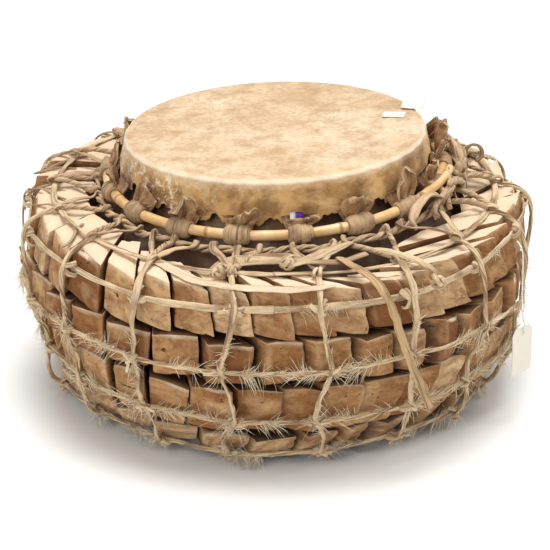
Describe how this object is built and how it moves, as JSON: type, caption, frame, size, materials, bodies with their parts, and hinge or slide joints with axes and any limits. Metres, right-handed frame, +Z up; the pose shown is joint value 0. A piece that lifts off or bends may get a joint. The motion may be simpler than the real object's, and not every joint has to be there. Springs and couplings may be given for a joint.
{
  "type": "block drum",
  "caption": "Wooden kettle drum with a laced skin head on a cane hoop, packed round with wooden blocks held by a rawhide strip net.",
  "frame": {"origin": "middle of the shell's flat foot, on the surface that the drum stands on", "axes": "+Z up through the drum's head; -Y towards the side with the loose strap, +X towards the side with the swing tag"},
  "size_m": [0.5724, 0.5636, 0.2879],
  "materials": {
    "shell_wood": "dark, dry and dusty",
    "drum_skin": "scraped hide, satin, mottled",
    "cane": "smooth straw-coloured cane",
    "thong": "dry grey-brown thong",
    "rawhide": "dry pale rawhide with hair left on its edges",
    "block_wood": "dry sawn softwood, worn at the edges",
    "paper": "blank white paper",
    "string": "white cotton string",
    "ribbon": "purple ribbon"
  },
  "bodies": {
    "drum": {"blocks_1_back_left": "block_wood", "blocks_1_back_right": "block_wood", "blocks_1_front": "block_wood", "blocks_1_left": "block_wood", "blocks_1_right": "block_wood", "blocks_2_back_left": "block_wood", "blocks_2_back_right": "block_wood", "blocks_2_front": "block_wood", "blocks_2_left": "block_wood", "blocks_2_right": "block_wood", "blocks_3_back_left": "block_wood", "blocks_3_back_right": "block_wood", "blocks_3_front": "block_wood", "blocks_3_left": "block_wood", "blocks_3_right": "block_wood", "blocks_4_back_left": "block_wood", "blocks_4_back_right": "block_wood", "blocks_4_front": "block_wood", "blocks_4_left": "block_wood", "blocks_4_right": "block_wood", "curled_end": "rawhide", "drum_head": "drum_skin", "foot_ring": "rawhide", "loose_strap": "rawhide", "net_ring_1": "rawhide", "net_ring_2": "rawhide", "net_ring_3": "rawhide", "net_ring_4": "rawhide", "net_top_ring": "rawhide", "net_upright_01": "rawhide", "net_upright_02": "rawhide", "net_upright_03": "rawhide", "net_upright_04": "rawhide", "net_upright_05": "rawhide", "net_upright_06": "rawhide", "net_upright_07": "rawhide", "net_upright_08": "rawhide", "net_upright_09": "rawhide", "net_upright_10": "rawhide", "net_upright_11": "rawhide", "net_upright_12": "rawhide", "net_upright_13": "rawhide", "net_upright_14": "rawhide", "net_upright_15": "rawhide", "net_upright_16": "rawhide", "net_upright_17": "rawhide", "net_upright_18": "rawhide", "ribbon_scrap": "ribbon", "rim_label": "paper", "shell": "shell_wood", "stock_label": "paper"},
    "hoop": {"cane_hoop": "cane", "hoop_splice": "cane", "skin_tabs": "drum_skin", "tab_bindings": "thong", "mouth_ring": "thong", "hoop_lacing": "rawhide"},
    "tag": {"swing_tag": "paper", "tag_string": "string"}
  },
  "joints": [
    {"name": "hoop_draw", "type": "slide", "parent": "drum", "child": "hoop", "axis": [0, 0, -1], "range_m": [0, 0.004], "deforming": ["hoop_lacing"]},
    {"name": "tag_lift", "type": "hinge", "parent": "drum", "child": "tag", "pos_m": [0.24413, -0.12981, 0.201], "axis": [-0.4695, -0.8829, 0], "range_deg": [0, 70]}
  ]
}
